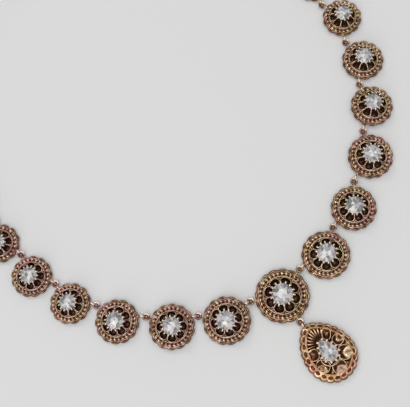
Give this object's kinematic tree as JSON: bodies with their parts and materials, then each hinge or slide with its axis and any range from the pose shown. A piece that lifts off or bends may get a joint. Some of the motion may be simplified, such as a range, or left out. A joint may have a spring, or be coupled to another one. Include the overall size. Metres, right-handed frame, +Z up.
{
  "type": "cluster necklace",
  "caption": "Gold openwork cluster necklace with claw-set stones, graduated towards the centre and hung with a pear-shaped cluster pendant, laid in a loop",
  "frame": {"origin": "middle of the outline, on the surface that the necklace lies on", "axes": "+Z up from the surface, -Y from the middle of the loop towards the pendant, +X to the right when the pendant points towards the reader"},
  "size_m": [0.1457, 0.1873, 0.0078],
  "materials": {
    "gold": "polished, warm antique gold",
    "diamond": "clear, cut and polished"
  },
  "bodies": {
    "root": {"setting_centre": "gold", "setting_right_1": "gold", "setting_right_2": "gold", "setting_right_3": "gold", "setting_right_4": "gold", "setting_right_5": "gold", "setting_right_6": "gold", "setting_right_7": "gold", "setting_right_8": "gold", "setting_right_9": "gold", "setting_right_10": "gold", "setting_right_11": "gold", "setting_right_12": "gold", "setting_right_13": "gold", "setting_left_1": "gold", "setting_left_2": "gold", "setting_left_3": "gold", "setting_left_4": "gold", "setting_left_5": "gold", "setting_left_6": "gold", "setting_left_7": "gold", "setting_left_8": "gold", "setting_left_9": "gold", "setting_left_10": "gold", "setting_left_11": "gold", "setting_left_12": "gold", "setting_left_13": "gold", "pendant_setting": "gold", "clasp": "gold", "stone_centre": "diamond", "stone_right_1": "diamond", "stone_right_2": "diamond", "stone_right_3": "diamond", "stone_right_4": "diamond", "stone_right_5": "diamond", "stone_right_6": "diamond", "stone_right_7": "diamond", "stone_right_8": "diamond", "stone_right_9": "diamond", "stone_right_10": "diamond", "stone_right_11": "diamond", "stone_right_12": "diamond", "stone_right_13": "diamond", "stone_left_1": "diamond", "stone_left_2": "diamond", "stone_left_3": "diamond", "stone_left_4": "diamond", "stone_left_5": "diamond", "stone_left_6": "diamond", "stone_left_7": "diamond", "stone_left_8": "diamond", "stone_left_9": "diamond", "stone_left_10": "diamond", "stone_left_11": "diamond", "stone_left_12": "diamond", "stone_left_13": "diamond", "pendant_stone": "diamond"}
  },
  "joints": []
}
